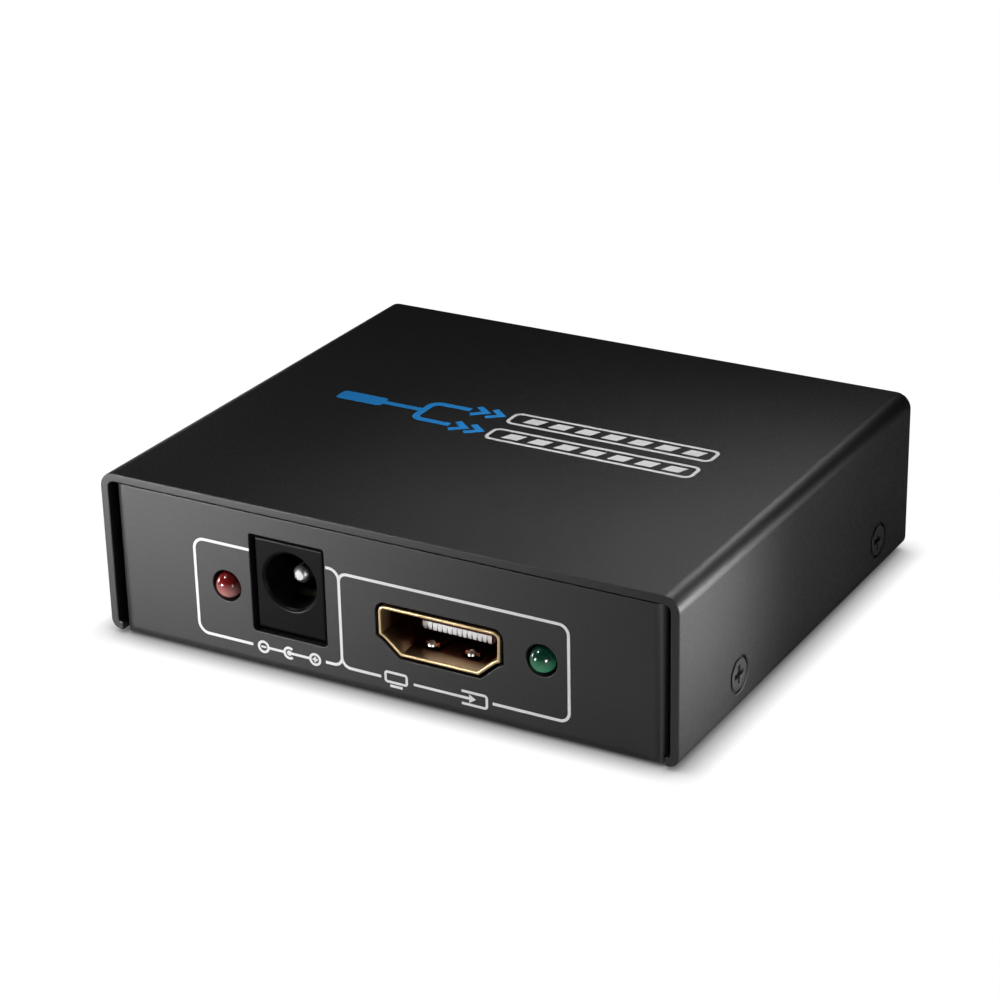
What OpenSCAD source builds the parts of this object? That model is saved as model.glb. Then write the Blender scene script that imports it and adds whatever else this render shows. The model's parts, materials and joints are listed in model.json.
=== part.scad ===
// Video splitter box: a bent sheet cover around a bent sheet base with end panels,
// one video input, a power jack and two lamps in front, two video outputs behind.
// Units are millimetres. The origin is on the underside, in the middle of the box.
// X runs to the right along the front, Y runs from the front to the back, Z is up.

/* [Case] */
// Outside width of the cover from left to right
case_w = 70; // [69:0.5:84]
// Outside depth of the cover from front to back
case_d = 60; // [59:0.5:76]
// Height from the underside to the top face
case_h = 19.4; // [18.8:0.1:26]
// Sheet thickness of the cover and the base
sheet_t = 1; // [0.9:0.05:1.1]
// Inside radius of the cover's two long top bends
top_bend_in_r = 0.8; // [0.4:0.1:1.4]
// Inside radius of the cover's rolled lower edges
edge_roll_in_r = 0.2; // [0.1:0.05:0.4]
// Height of the cover's lower edge above the underside
cover_lift = 0.45; // [0.2:0.05:0.7]
// Gap between the cover's inner wall and the base's side flanges
side_gap = 0.65; // [0.5:0.05:0.8]
// Distance of the end panels behind the cover's ends
panel_recess = 0.15; // [0:0.05:0.6]
// Gap between the end panels and the cover's roof
panel_top_gap = 0.15; // [0.05:0.05:0.3]
// Inside radius of the base's bends
tray_bend_in_r = 0.3; // [0.2:0.05:0.5]

/* [Cover screws] */
// Height of the side screws above the underside
screw_z = 4.55; // [4.4:0.05:5]
// Distance of the front side screws from the cover's front edge
screw_front_in = 14.3; // [11:0.1:18]
// Distance of the rear side screws from the cover's rear edge
screw_rear_in = 8.5; // [7:0.1:14]
// Radius of the screw heads
screw_head_r = 1.8; // [1.7:0.05:1.9]
// Thread radius of the side screws
screw_r = 0.95; // [0.9:0.05:1]
// Overall length of the side screws
screw_len = 4; // [3.6:0.1:4.4]

/* [Board] */
// Height of the spacers between base and board
spacer_h = 2; // [1.7:0.1:2.6]
// Thickness of the circuit board
board_t = 1.6; // [1.4:0.1:1.8]
// Distance from the case's outer side to the board's edge
board_side_in = 5.8; // [5.6:0.1:6.4]
// Gap between an end panel's inner face and the board
board_end_gap = 1.45; // [0.9:0.05:2]
// Thread radius of the board screws
board_screw_r = 1.2; // [1.1:0.05:1.25]

/* [Power jack] */
// Position of the power jack along the front
jack_x = -11.2; // [-11.8:0.1:-10.6]
// Width of the jack's housing
jack_w = 9; // [8.6:0.1:9.2]
// Height of the jack's front block
jack_h = 11; // [10.8:0.1:11.4]
// Length of the jack's housing
jack_len = 14.2; // [13.6:0.1:14.4]
// Height of the plug bore's axis above the board
jack_axis_h = 6.3; // [6.2:0.05:6.5]
// Radius of the plug bore
jack_bore_r = 3.15; // [3.05:0.05:3.25]
// Radius of the centre pin
jack_pin_r = 1; // [0.9:0.05:1.25]

/* [Video sockets] */
// Position of the input socket along the front
input_x = 7.3; // [7:0.1:8]
// Place of the first output socket right of the middle, as a share of the board's half width
output_1_share = 0.525; // [0.51:0.005:0.54]
// Place of the second output socket left of the middle, as a share of the board's half width
output_2_share = 0.42; // [0.41:0.005:0.44]
// Outside width of a socket's shell
shell_w = 14.6; // [14.2:0.1:14.8]
// Outside height of a socket's shell
shell_h = 5.4; // [5.2:0.1:5.7]
// Sheet thickness of a socket's shell
shell_t = 0.35; // [0.3:0.05:0.4]
// Height of a shell's underside above the board
shell_lift = 0.93; // [0.8:0.01:1.2]
// Thickness of the tongue inside a socket
tongue_t = 1.5; // [1.3:0.1:1.7]

/* [Lamps] */
// Position of the power lamp along the front
power_led_x = -19.1; // [-19.6:0.1:-18.7]
// Position of the input lamp along the front
input_led_x = 19.4; // [18.9:0.1:20.2]
// Distance of an output's lamp from the middle of its socket
output_led_off = 12.1; // [11.6:0.1:12.4]
// Height of the lamps above the board
led_h = 4.35; // [4.1:0.05:5]
// Radius of a lamp's lens
led_r = 1.5; // [1.4:0.05:1.6]
// Reach of a lamp's tip in front of its panel
led_reach = 0.9; // [0.5:0.05:1.4]

/* [Hidden] */
$fn = 48;
eps = 0.02;

half_w = case_w / 2;
half_d = case_d / 2;
wall_x = half_w - sheet_t;

// base tray
tray_x = wall_x - side_gap;
panel_y = half_d - panel_recess;
panel_in_y = panel_y - sheet_t;
panel_top = case_h - sheet_t - panel_top_gap;
tray_bend_r = tray_bend_in_r + sheet_t;
flange_past_screw = 4.5;
flange_slot_h = 0.8;

// rolled lower edges of the cover
roll_gap = 0.1;
roll_in_x = tray_x + roll_gap;

// side screws, dimples and tapped collars
screw_front_y = -half_d + screw_front_in;
screw_rear_y = half_d - screw_rear_in;
screw_sink = 0.05;
screw_cone_h = screw_head_r - screw_r;
seat_gap = 0.05;
dimple_x = tray_x + seat_gap;
dimple_foot_r = 2.9;
dimple_end_r = 2.1;
sink_r = screw_head_r + screw_sink + seat_gap;
ring_gap = 0.3;
ring_r = screw_head_r + ring_gap;
ring_h = 0.35;
ring_rim_w = 0.3;
ring_rim_r = ring_r + ring_rim_w;
ring_rim_h = 0.1;
screw_hole_gap = 0.2;
screw_hole_r = screw_r + screw_hole_gap;
thread_gap = 0.05;
collar_r = 2;
collar_h = 1;
recess_l = 2.1;
recess_w = 0.55;
recess_d = 0.7;

// board and its spacers
board_z = sheet_t + spacer_h;
board_top = board_z + board_t;
board_x = half_w - board_side_in;
board_y = panel_in_y - board_end_gap;
spacer_side_in = 3.8;
spacer_front_in = 9.4;
spacer_rear_in = 9.9;
spacer_x = board_x - spacer_side_in;
spacer_front_y = -board_y + spacer_front_in;
spacer_rear_y = board_y - spacer_rear_in;
spacer_flats = 5;
spacer_r = spacer_flats / 2 / cos(30);
spacer_foot_r = 2.1;
press_gap = 0.02;
board_hole_r = 1.45;
board_screw_head_r = 2.3;
board_screw_head_h = 1.6;
board_screw_len = 3.4;
board_screw_dome_r = 3.4;
board_recess_l = 2.6;
board_recess_w = 0.5;
board_recess_d = 0.7;

// power jack
jack_recess = 0.45;
jack_y = -panel_y + jack_recess;
jack_block_l = 3.6;
jack_bevel = 0.35;
jack_hole_gap = 0.2;
jack_hole_top_r = 0.3;
jack_hole_low_r = 0.5;
jack_z = board_top + jack_axis_h;
jack_barrel_in = 0.05;
jack_barrel_r = jack_w / 2 - jack_barrel_in;
jack_bore_l = 9.4;
jack_mouth_w = 0.35;
jack_pin_back = 1.8;
jack_pin_round = 0.5;
jack_pin_tip_r = 1.12;
jack_root_in = 0.3;
jack_root_r = jack_pin_r - jack_root_in;
jack_floor_y = jack_y + jack_bore_l;
pin_tail_w = 1.6;
pin_tail_t = 0.4;
tail_past = 0.5;
leaf_w = 2.6;
leaf_t = 0.3;
leaf_l = 7.2;
leaf_root_r = 0.45;
leaf_root_h = 1.5;
leaf_root_back = 11.7;
leaf_bump_r = 0.9;
leaf_bump_in = 0.62;
leaf_slot_gap = 0.4;
leaf_y = jack_y + leaf_root_back;
leaf_z = board_top + leaf_root_h;
bump_y = leaf_y - leaf_l;
bump_z = jack_z - jack_bore_r + leaf_bump_in - leaf_bump_r;
slot_rear_past = 1.2;
slot_under_pin = 0.5;
terminal_gap = 0.06;
terminal_t = 0.4;
tail_hole_gap = 0.25;

// video sockets, drawn with the mouth at Y 0 and the board's top at Z 0
port_reach = 0.05;
port_y = panel_y + port_reach;
port_hole_gap = 0.35;
output_1_x = output_1_share * board_x;
output_2_x = -output_2_share * board_x;
shell_len = 11;
shell_top_r = 0.8;
shell_knee_h = 2.05;
shell_step_h = 1.75;
shell_step_in = 0.6;
shell_foot_in = 2.6;
knee_drop_share = 0.6;
step_drop_share = 0.7;
step_out_share = 0.8;
foot_out_share = 0.5;
tongue_back = 4;
tongue_half_w = 4.5;
tongue_mid_h = 2.6;
insulator_l = 2.4;
insulator_gap = 0.04;
insulator_foot_gap = 0.1;
insulator_foot_t = 0.5;
insulator_foot_under = 0.3;
contact_n = 19;
contact_pitch = 0.46;
contact_w = 0.26;
contact_t = 0.14;
contact_slot_gap = 0.03;
contact_tail_l = 0.9;
contact_front_in = 0.3;
contact_drop_low = 0.9;
contact_drop_high = 1.1;
finger_x = 2.4;
finger_w = 1.7;
finger_win_w = 2.3;
finger_front = 2.2;
finger_back = 7.4;
finger_end_gap = 0.4;
finger_root = 0.2;
finger_a = 7;
leg_w = 1;
leg_shoulder_w = 2.2;
leg_front = 3.4;
leg_rear = 9.4;
leg_hole_r = 0.7;
leg_below = 0.35;

// lamps
led_z = board_top + led_h;
led_hole_gap = 0.3;
led_body_l = 4.15;
led_flange_w = 0.4;
led_flange_r = led_r + led_flange_w;
output_1_led_x = output_1_x - output_led_off;
output_2_led_x = output_2_x - output_led_off;
led_flange_t = 1;
lead_w = 0.5;
lead_pitch = 2.54;
lead_back = 1.3;
lead_below = 0.5;
lead_hole_r = 0.5;

// parts on the board: positions from the board's middle, or from the ports that they follow
main_chip_at = [3, 0];
main_chip_w = 14;
main_chip_h = 1.4;
chip_lift = 0.12;
main_lead_n = 16;
main_lead_pitch = 0.8;
main_lead_w = 0.36;
lead_foot_l = 0.7;
lead_reach = 1.2;
lead_sheet = 0.16;
memory_rear_gap = 6.4;
memory_at = [[19.5, -11], [19.5, 9], [-9, port_y - shell_len - memory_rear_gap]];
memory_w = 3.9;
memory_l = 4.9;
memory_h = 1.5;
memory_lead_n = 4;
memory_lead_pitch = 1.27;
memory_lead_w = 0.4;
regulator_at = [[-20.5, -8], [-20.5, 0.5]];
regulator_w = 6.5;
regulator_l = 3.5;
regulator_h = 1.6;
regulator_pitch = 2.3;
regulator_lead_w = 0.7;
regulator_tab_w = 3;
regulator_lead_l = 1.7;
crystal_at = [2.2, 12.6];
crystal_l = 10.6;
crystal_w = 4.6;
crystal_h = 3.4;
crystal_flange = 0.35;
crystal_flange_t = 0.4;
can_1_at = [-20.5, 8.6];
can_2_x = -12.5;
can_2_gap = 2.6;
can_r = 3.15;
can_h = 5.4;
can_neck_in = 0.3;
can_neck_h = 0.5;
can_base_w = 6.6;
can_2_at = [can_2_x, jack_y + jack_len + pin_tail_t + can_2_gap + can_base_w / 2];
can_at = [can_1_at, can_2_at];
can_base_h = 0.8;
can_base_cut = 1.2;
inductor_at = [-12.5, 0.6];
inductor_w = 6;
inductor_h = 3;
inductor_foot_t = 0.7;
inductor_core_r = 2.6;
diode_at = [-19.5, -13.6];
diode_l = 4.3;
diode_w = 2.6;
diode_h = 2.1;
diode_pad_l = 0.5;
diode_pad_w = 1.5;
small_l = 1.6;
small_w = 0.8;
small_cap_h = 0.8;
small_res_h = 0.45;
small_pitch = 1.6;
small_row_n = 8;
cap_column_x = 14;
res_column_x = -7.2;
row_start = 5.8;
res_row_gap = 3.5;
cap_row_gap = 6.2;
row_x = input_x - row_start;
row_y = -port_y + shell_len;
res_row_at = [row_x, row_y + res_row_gap];
cap_row_at = [row_x, row_y + cap_row_gap];

// a flat shape in X and Z, drawn out along Y from y0 to y1
module along_y(y0, y1) {
    translate([0, y1, 0]) rotate([90, 0, 0]) linear_extrude(y1 - y0) children();
}

// a flat shape in Y and Z, drawn out along X from x0 to x1
module along_x(x0, x1) {
    translate([x0, 0, 0]) rotate([90, 0, 90]) linear_extrude(x1 - x0) children();
}

// a rectangle with its own radius for the two upper and the two lower corners
module round_rect(w, z0, z1, r_top, r_low) {
    translate([-w / 2, z0 + r_low]) square([w, z1 - z0 - r_top - r_low]);
    translate([-w / 2 + r_top, z1 - 2 * r_top]) square([w - 2 * r_top, 2 * r_top]);
    translate([-w / 2 + r_low, z0]) square([w - 2 * r_low, 2 * r_low]);
    for (s = [-1, 1]) {
        translate([s * (w / 2 - r_top), z1 - r_top]) circle(r_top);
        translate([s * (w / 2 - r_low), z0 + r_low]) circle(r_low);
    }
}

// each side screw's place: children face +X at the right wall and are mirrored to the left
module at_side_screws() {
    for (s = [0, 1], y = [screw_front_y, screw_rear_y]) {
        mirror([s, 0, 0]) translate([0, y, screw_z]) rotate([0, 90, 0]) children();
    }
}

module at_spacers() {
    for (s = [-1, 1], y = [spacer_front_y, spacer_rear_y]) {
        translate([s * spacer_x, y, 0]) children();
    }
}

module at_input() {
    translate([input_x, -port_y, board_top]) children();
}

module at_output(x) {
    translate([x, port_y, board_top]) rotate([0, 0, 180]) children();
}

module at_sockets() {
    at_input() children();
    at_output(output_1_x) children();
    at_output(output_2_x) children();
}

// each lamp's place: the lamp points to -Y with its panel's outer face at Y 0
module at_lamp(i) {
    if (i == 0) translate([power_led_x, -panel_y, led_z]) children();
    if (i == 1) translate([input_led_x, -panel_y, led_z]) children();
    if (i == 2) translate([output_1_led_x, panel_y, led_z]) rotate([0, 0, 180]) children();
    if (i == 3) translate([output_2_led_x, panel_y, led_z]) rotate([0, 0, 180]) children();
}

// a cross recess cut down from Z 0
module cross_recess(l, w, d) {
    for (a = [0, 90]) {
        rotate([0, 0, a]) translate([-l / 2, -w / 2, -d]) cube([l, w, d + eps]);
    }
}

// C-shaped cover: roof, two sides and the rolled lower edges
module top_cover() {
    lip_top = cover_lift + sheet_t;
    color([0.09, 0.09, 0.1]) difference() {
        union() {
            along_y(-half_d, half_d) difference() {
                round_rect(case_w, cover_lift, case_h, top_bend_in_r + sheet_t, edge_roll_in_r + sheet_t);
                round_rect(2 * wall_x, lip_top, case_h - sheet_t, top_bend_in_r, edge_roll_in_r);
                translate([-roll_in_x, cover_lift - eps]) square([2 * roll_in_x, lip_top]);
            }
            at_side_screws() translate([0, 0, dimple_x])
                cylinder(r1 = dimple_end_r, r2 = dimple_foot_r, h = wall_x - dimple_x + eps);
        }
        at_side_screws() {
            translate([0, 0, dimple_x - eps]) cylinder(r = screw_hole_r, h = half_w);
            translate([0, 0, half_w - sink_r + screw_hole_r])
                cylinder(r1 = screw_hole_r, r2 = sink_r, h = sink_r - screw_hole_r);
            translate([0, 0, half_w - ring_h]) cylinder(r = ring_r, h = ring_h + eps);
            translate([0, 0, half_w - ring_rim_h])
                cylinder(r1 = ring_r, r2 = ring_rim_r, h = ring_rim_h + eps);
        }
    }
}

// solid shape of the base, grown or shrunk by inset, open upwards to z1
module tray_block(inset, z1, r) {
    x = tray_x - inset;
    y = panel_y - inset;
    intersection() {
        along_y(-y, y) {
            translate([-x, inset + r]) square([2 * x, z1 - inset - r]);
            translate([-x + r, inset]) square([2 * (x - r), 2 * r]);
            for (s = [-1, 1]) translate([s * (x - r), inset + r]) circle(r);
        }
        along_x(-x, x) {
            translate([-y, inset + r]) square([2 * y, z1 - inset - r]);
            translate([-y + r, inset]) square([2 * (y - r), 2 * r]);
            for (s = [-1, 1]) translate([s * (y - r), inset + r]) circle(r);
        }
        linear_extrude(z1) {
            translate([-x, -y + r]) square([2 * x, 2 * (y - r)]);
            translate([-x + r, -y]) square([2 * (x - r), 2 * y]);
            for (s = [-1, 1], q = [-1, 1]) translate([s * (x - r), q * (y - r)]) circle(r);
        }
    }
}

// base: bottom plate, both end panels, and the panels' side flanges for the screws
module base_tray() {
    flange_front_y = screw_front_y + flange_past_screw;
    flange_rear_y = screw_rear_y - flange_past_screw;
    in_x = tray_x - sheet_t;
    color([0.13, 0.13, 0.14]) difference() {
        union() {
            difference() {
                tray_block(0, panel_top, tray_bend_r);
                tray_block(sheet_t, panel_top + sheet_t, tray_bend_in_r);
            }
            at_side_screws() translate([0, 0, in_x - collar_h]) cylinder(r = collar_r, h = collar_h + eps);
        }
        for (s = [0, 1]) mirror([s, 0, 0]) {
            translate([in_x - tray_bend_in_r, flange_front_y, sheet_t])
                cube([half_w, flange_rear_y - flange_front_y, case_h]);
            translate([in_x - tray_bend_in_r, -panel_y + tray_bend_r, sheet_t])
                cube([half_w, 2 * (panel_y - tray_bend_r), flange_slot_h]);
        }
        at_side_screws() cylinder(r = screw_r + thread_gap, h = half_w);
        at_spacers() translate([0, 0, -eps]) cylinder(r = spacer_foot_r + press_gap, h = sheet_t + 2 * eps);
        jack_hole();
        at_sockets() along_y(-sheet_t, 2 * sheet_t) shell_outline(port_hole_gap);
        for (i = [0:3]) at_lamp(i) rotate([90, 0, 0])
            cylinder(r = led_r + led_hole_gap, h = 4 * sheet_t, center = true);
    }
}

module jack_hole() {
    w = jack_w + 2 * jack_hole_gap;
    z0 = board_top - jack_hole_gap;
    z1 = board_top + jack_h + jack_hole_gap;
    translate([jack_x, 0, 0]) along_y(-half_d - sheet_t, -panel_in_y + eps)
        round_rect(w, z0, z1, jack_hole_top_r, jack_hole_low_r);
}

module cover_screws() {
    color([0.1, 0.1, 0.1]) at_side_screws() difference() {
        union() {
            translate([0, 0, half_w - screw_sink - screw_cone_h])
                cylinder(r1 = screw_r, r2 = screw_head_r, h = screw_cone_h);
            translate([0, 0, half_w - screw_sink - screw_len]) cylinder(r = screw_r, h = screw_len - eps);
        }
        translate([0, 0, half_w - screw_sink]) cross_recess(recess_l, recess_w, recess_d);
    }
}

// six-sided spacers with a round foot pressed into the base
module board_spacers() {
    color([0.78, 0.66, 0.36]) at_spacers() difference() {
        union() {
            translate([0, 0, sheet_t]) cylinder(r = spacer_r, h = spacer_h, $fn = 6);
            translate([0, 0, eps]) cylinder(r = spacer_foot_r, h = sheet_t);
        }
        cylinder(r = board_screw_r + thread_gap, h = board_top);
    }
}

module board_screws() {
    color([0.7, 0.7, 0.72]) at_spacers() difference() {
        union() {
            intersection() {
                translate([0, 0, board_top]) cylinder(r = board_screw_head_r, h = board_screw_head_h);
                translate([0, 0, board_top + board_screw_head_h - board_screw_dome_r])
                    sphere(board_screw_dome_r);
            }
            translate([0, 0, board_top - board_screw_len])
                cylinder(r = board_screw_r, h = board_screw_len + eps);
        }
        translate([0, 0, board_top + board_screw_head_h])
            cross_recess(board_recess_l, board_recess_w, board_recess_d);
    }
}

module circuit_board() {
    color([0.05, 0.28, 0.16]) difference() {
        translate([-board_x, -board_y, board_z]) cube([2 * board_x, 2 * board_y, board_t]);
        at_spacers() cylinder(r = board_hole_r, h = case_h);
        at_sockets() for (s = [-1, 1], y = [leg_front, leg_rear])
            translate([s * (shell_w - shell_t) / 2, y, -board_t - eps])
                cylinder(r = leg_hole_r, h = board_t + 2 * eps);
        for (i = [0:3]) at_lamp(i) for (s = [-1, 1])
            translate([s * lead_pitch / 2, lead_y() + lead_w / 2, -case_h])
                cylinder(r = lead_hole_r, h = case_h);
        translate([jack_x, jack_y + jack_len + pin_tail_t / 2, board_z - eps])
            cylinder(r = pin_tail_w / 2 + tail_hole_gap, h = board_t + 2 * eps);
        translate([jack_x, leaf_y, board_z - eps])
            cylinder(r = leaf_w / 2 + tail_hole_gap, h = board_t + 2 * eps);
    }
}

// housing of the power jack: bevelled front block, round-topped body, bore and spring slot
module jack_housing() {
    half = jack_w / 2;
    slot_half = leaf_w / 2 + leaf_slot_gap;
    slot_front = bump_y - leaf_bump_r - leaf_slot_gap;
    slot_h = jack_z - board_top - jack_pin_r - slot_under_pin;
    color([0.05, 0.05, 0.05]) difference() {
        union() {
            intersection() {
                translate([jack_x, jack_y, board_top]) linear_extrude(jack_h) polygon([
                    [-half + jack_bevel, 0], [half - jack_bevel, 0], [half, jack_bevel],
                    [half, jack_block_l], [-half, jack_block_l], [-half, jack_bevel]
                ]);
                translate([jack_x, jack_y, board_top]) along_x(-half, half) polygon([
                    [0, jack_bevel], [jack_bevel, 0], [jack_block_l, 0],
                    [jack_block_l, jack_h], [jack_bevel, jack_h], [0, jack_h - jack_bevel]
                ]);
            }
            translate([jack_x - half, jack_y + jack_block_l - eps, board_top])
                cube([jack_w, jack_len - jack_block_l + eps, jack_axis_h]);
            translate([jack_x, jack_y + jack_block_l - eps, jack_z]) rotate([-90, 0, 0])
                cylinder(r = jack_barrel_r, h = jack_len - jack_block_l + eps);
        }
        translate([jack_x, jack_y - eps, jack_z]) rotate([-90, 0, 0])
            cylinder(r = jack_bore_r, h = jack_bore_l + eps);
        translate([jack_x, jack_y - eps, jack_z]) rotate([-90, 0, 0])
            cylinder(r1 = jack_bore_r + jack_mouth_w, r2 = jack_bore_r, h = jack_mouth_w);
        translate([jack_x, jack_y, jack_z]) rotate([-90, 0, 0])
            cylinder(r = jack_root_r + press_gap, h = jack_len + eps);
        translate([jack_x - slot_half, slot_front, board_top - eps])
            cube([2 * slot_half, leaf_y + slot_rear_past - slot_front, slot_h]);
    }
}

// centre pin with a round tip and a solder tail behind the housing
module jack_centre_pin() {
    y0 = jack_y + jack_pin_back + jack_pin_round;
    y1 = jack_y + jack_len;
    color([0.8, 0.8, 0.8]) union() {
        translate([jack_x, y0, jack_z]) rotate([-90, 0, 0]) cylinder(r = jack_pin_r, h = jack_floor_y - y0);
        translate([jack_x, y0, jack_z]) rotate([-90, 0, 0]) cylinder(r = jack_root_r, h = y1 - y0 + eps);
        translate([jack_x, y0, jack_z]) rotate([-90, 0, 0])
            intersection() {
                translate([0, 0, -jack_pin_round]) cylinder(r = jack_pin_r, h = jack_pin_round + eps);
                translate([0, 0, jack_pin_r - jack_pin_round]) sphere(jack_pin_r * jack_pin_tip_r);
            }
        translate([jack_x - pin_tail_w / 2, y1, board_z - tail_past])
            cube([pin_tail_w, pin_tail_t, jack_z + jack_pin_r - board_z + tail_past]);
    }
}

// fixed tail that carries the spring: a strip up from the board with a cupped top
module jack_sleeve_terminal() {
    z0 = board_z - tail_past;
    color([0.75, 0.72, 0.62]) difference() {
        translate([jack_x - leaf_w / 2, leaf_y - terminal_t, z0]) cube([leaf_w, 2 * terminal_t, leaf_z - z0]);
        translate([jack_x, leaf_y, leaf_z]) rotate([0, 90, 0])
            cylinder(r = leaf_root_r + terminal_gap, h = 2 * leaf_w, center = true);
    }
}

// leaf spring that presses on the plug's sleeve: rolled root, leaf and round contact bump
module jack_sleeve_spring() {
    dz = bump_z - leaf_z;
    a = atan2(dz, leaf_l);
    color([0.82, 0.78, 0.66]) translate([jack_x, leaf_y, leaf_z]) union() {
        rotate([0, 90, 0]) cylinder(r = leaf_root_r, h = leaf_w, center = true);
        rotate([-a, 0, 0]) translate([-leaf_w / 2, -leaf_l / cos(a), -leaf_t / 2])
            cube([leaf_w, leaf_l / cos(a), leaf_t]);
        intersection() {
            translate([0, -leaf_l, dz]) rotate([0, 90, 0])
                cylinder(r = leaf_bump_r, h = leaf_w, center = true);
            translate([-leaf_w, -leaf_l - 2 * leaf_bump_r, dz - leaf_t / 2])
                cube([2 * leaf_w, 4 * leaf_bump_r, 2 * leaf_bump_r]);
        }
    }
}

// outline of a socket in X and Z, moved out by g; the slanted corners move by their own share of it
module shell_outline(g) {
    z0 = shell_lift - g;
    z1 = shell_lift + shell_h + g;
    knee_z = shell_lift + shell_knee_h - knee_drop_share * g;
    step_z = shell_lift + shell_step_h - step_drop_share * g;
    hw = shell_w / 2 + g;
    step_x = shell_w / 2 - shell_step_in + step_out_share * g;
    foot_x = shell_w / 2 - shell_foot_in + foot_out_share * g;
    intersection() {
        polygon([
            [-hw, z1], [-hw, knee_z], [-step_x, step_z], [-foot_x, z0],
            [foot_x, z0], [step_x, step_z], [hw, knee_z], [hw, z1]
        ]);
        round_rect(2 * hw, z0 - shell_h, z1, shell_top_r + g, shell_t);
    }
}

// shell with spring fingers in roof and floor, and four legs through the board
module socket_shell() {
    color([0.83, 0.7, 0.42]) shell_body();
}

module shell_body() {
    roof_z = shell_lift + shell_h - shell_t;
    win_l = finger_back - finger_front;
    fl = win_l - finger_end_gap;
    root_y = finger_back + finger_root;
    difference() {
        along_y(0, shell_len) difference() {
            shell_outline(0);
            shell_outline(-shell_t);
        }
        for (s = [-1, 1]) translate([s * finger_x - finger_win_w / 2, finger_front, -eps])
            cube([finger_win_w, win_l, shell_lift + shell_h + 2 * eps]);
    }
    for (s = [-1, 1]) {
        translate([s * finger_x, root_y, roof_z + shell_t / 2]) rotate([finger_a, 0, 0])
            translate([-finger_w / 2, -fl, -shell_t / 2]) cube([finger_w, fl, shell_t]);
        translate([s * finger_x, root_y, shell_lift + shell_t / 2]) rotate([-finger_a, 0, 0])
            translate([-finger_w / 2, -fl, -shell_t / 2]) cube([finger_w, fl, shell_t]);
        for (y = [leg_front, leg_rear]) {
            translate([s * (shell_w - shell_t) / 2 - shell_t / 2, y - leg_shoulder_w / 2, 0])
                cube([shell_t, leg_shoulder_w, shell_lift + shell_h / 2]);
            translate([s * (shell_w - shell_t) / 2 - shell_t / 2, y - leg_w / 2, -board_t - leg_below])
                cube([shell_t, leg_w, board_t + leg_below + shell_lift]);
        }
    }
}

// rear block, tongue and the two slots that the contacts run through
module socket_insulator() {
    z0 = shell_lift + tongue_mid_h - tongue_t / 2;
    slot_h = contact_t + contact_slot_gap;
    foot_z = z0 - contact_t - insulator_foot_under;
    link_z = shell_lift + shell_t + insulator_gap;
    color([0.06, 0.06, 0.06]) difference() {
        union() {
            along_y(shell_len - insulator_l, shell_len) shell_outline(-shell_t - insulator_gap);
            translate([-tongue_half_w, tongue_back, z0])
                cube([2 * tongue_half_w, shell_len - tongue_back, tongue_t]);
            translate([-tongue_half_w, shell_len + insulator_foot_gap, 0])
                cube([2 * tongue_half_w, insulator_foot_t, foot_z]);
            translate([-tongue_half_w, shell_len - insulator_foot_t, link_z])
                cube([2 * tongue_half_w, 2 * insulator_foot_t + insulator_foot_gap, foot_z - link_z]);
        }
        for (z = [z0 - slot_h, z0 + tongue_t]) translate([-tongue_half_w, tongue_back, z])
            cube([2 * tongue_half_w, shell_len, slot_h]);
    }
}

// one contact: a strip on the tongue, a drop behind the insulator and a foot on the board
module socket_contact(z, drop_y) {
    y0 = tongue_back + contact_front_in;
    translate([-contact_w / 2, 0, 0]) along_x(0, contact_w) polygon([
        [y0, z], [drop_y - contact_t, z], [drop_y - contact_t, 0],
        [drop_y + contact_tail_l, 0], [drop_y + contact_tail_l, contact_t],
        [drop_y, contact_t], [drop_y, z + contact_t], [y0, z + contact_t]
    ]);
}

module socket_contacts() {
    z0 = shell_lift + tongue_mid_h - tongue_t / 2;
    color([0.8, 0.76, 0.6]) for (i = [0:contact_n - 1]) {
        upper = i % 2 == 0;
        z = upper ? z0 + tongue_t : z0 - contact_t;
        drop = upper ? contact_drop_high : contact_drop_low;
        translate([(i - (contact_n - 1) / 2) * contact_pitch, 0, 0]) socket_contact(z, shell_len + drop);
    }
}

// lens of a lamp: dome, stem and rear flange
module lamp_lens() {
    dome_y = led_r - led_reach;
    rear_y = dome_y + led_body_l - led_r;
    union() {
        translate([0, dome_y, 0]) rotate([-90, 0, 0]) cylinder(r = led_r, h = rear_y - dome_y);
        intersection() {
            translate([0, dome_y, 0]) sphere(led_r);
            translate([-led_r, -led_reach - eps, -led_r]) cube([2 * led_r, led_r + 2 * eps, 2 * led_r]);
        }
        translate([0, rear_y - eps, 0]) rotate([-90, 0, 0])
            cylinder(r = led_flange_r, h = led_flange_t + eps);
    }
}

function lead_y() = led_body_l - led_reach + led_flange_t + lead_back;

// two square wires of each lamp: straight back, then down through the board
module lamp_leads() {
    y0 = led_body_l - led_reach + led_flange_t;
    drop = led_h + board_t + lead_below;
    color([0.75, 0.75, 0.75]) for (i = [0:3], s = [-1, 1])
        at_lamp(i) translate([s * lead_pitch / 2 - lead_w / 2, 0, 0]) along_x(0, lead_w) polygon([
            [y0, -lead_w / 2], [lead_y(), -lead_w / 2], [lead_y(), -drop],
            [lead_y() + lead_w, -drop], [lead_y() + lead_w, lead_w / 2], [y0, lead_w / 2]
        ]);
}

// a bent lead in Y and Z, from a body's side at Y 0 out to a foot on the board
module bent_lead(w, h) {
    foot = lead_reach - lead_foot_l;
    translate([-w / 2, 0, 0]) along_x(0, w) polygon([
        [0, h], [foot, h], [foot, lead_sheet], [lead_reach, lead_sheet], [lead_reach, 0],
        [foot - lead_sheet, 0], [foot - lead_sheet, h - lead_sheet], [0, h - lead_sheet]
    ]);
}

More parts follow.
